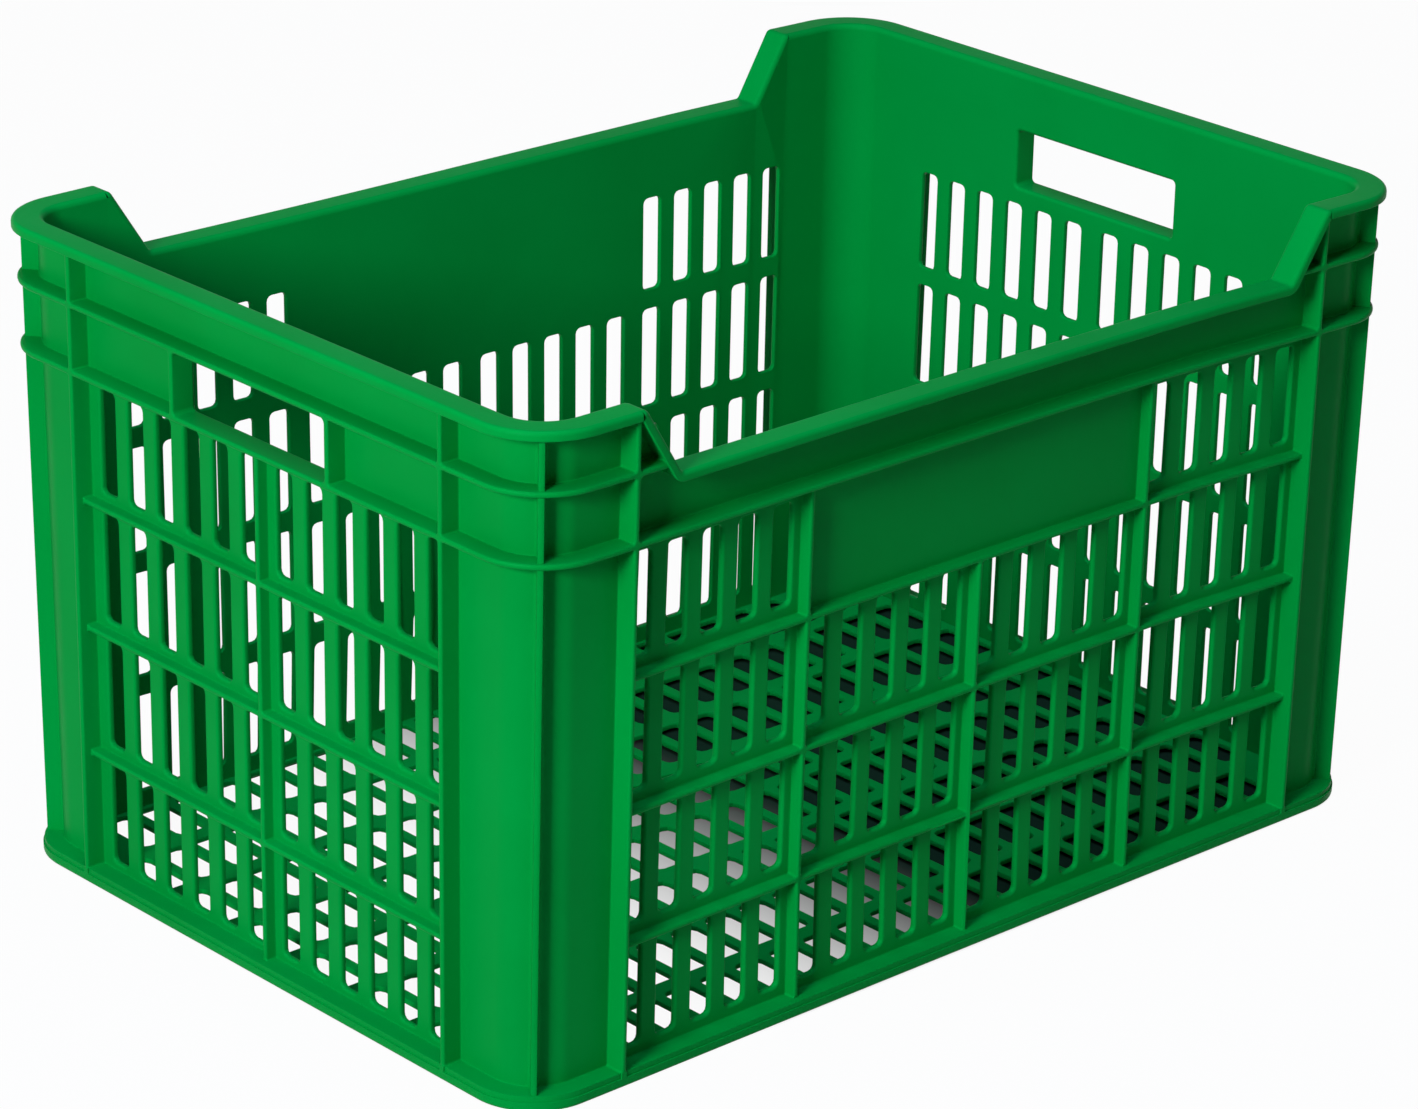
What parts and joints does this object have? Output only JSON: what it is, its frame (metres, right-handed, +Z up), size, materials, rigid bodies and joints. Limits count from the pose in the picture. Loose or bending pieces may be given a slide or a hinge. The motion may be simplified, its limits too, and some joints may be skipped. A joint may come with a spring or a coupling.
{
  "type": "perforated crate",
  "caption": "Open-topped rectangular harvest crate with slotted, ribbed walls, a dipped rim on the long sides and hand holes in the ends.",
  "frame": {"origin": "middle of the underside, on the surface that the crate stands on", "axes": "+X along the long walls, +Y from the front wall to the back wall, +Z up"},
  "size_m": [0.6, 0.426, 0.347],
  "materials": {
    "green_plastic": "injection-moulded polyethylene, semi-gloss, finely mottled"
  },
  "bodies": {
    "root": {"back_base_flange": "green_plastic", "back_grille": "green_plastic", "back_label_panel": "green_plastic", "back_left_corner_post": "green_plastic", "back_left_rim_shoulder": "green_plastic", "back_low_rim": "green_plastic", "back_right_corner_post": "green_plastic", "back_right_rim_shoulder": "green_plastic", "back_upper_band": "green_plastic", "floor_grid": "green_plastic", "front_base_flange": "green_plastic", "front_grille": "green_plastic", "front_label_panel": "green_plastic", "front_left_corner_post": "green_plastic", "front_left_rim_shoulder": "green_plastic", "front_low_rim": "green_plastic", "front_right_corner_post": "green_plastic", "front_right_rim_shoulder": "green_plastic", "front_upper_band": "green_plastic", "left_base_flange": "green_plastic", "left_grille": "green_plastic", "left_grip_rail": "green_plastic", "left_hand_hole_back_cheek": "green_plastic", "left_hand_hole_front_cheek": "green_plastic", "left_hand_hole_sill": "green_plastic", "left_rim": "green_plastic", "right_base_flange": "green_plastic", "right_grille": "green_plastic", "right_grip_rail": "green_plastic", "right_hand_hole_back_cheek": "green_plastic", "right_hand_hole_front_cheek": "green_plastic", "right_hand_hole_sill": "green_plastic", "right_rim": "green_plastic"}
  },
  "joints": []
}
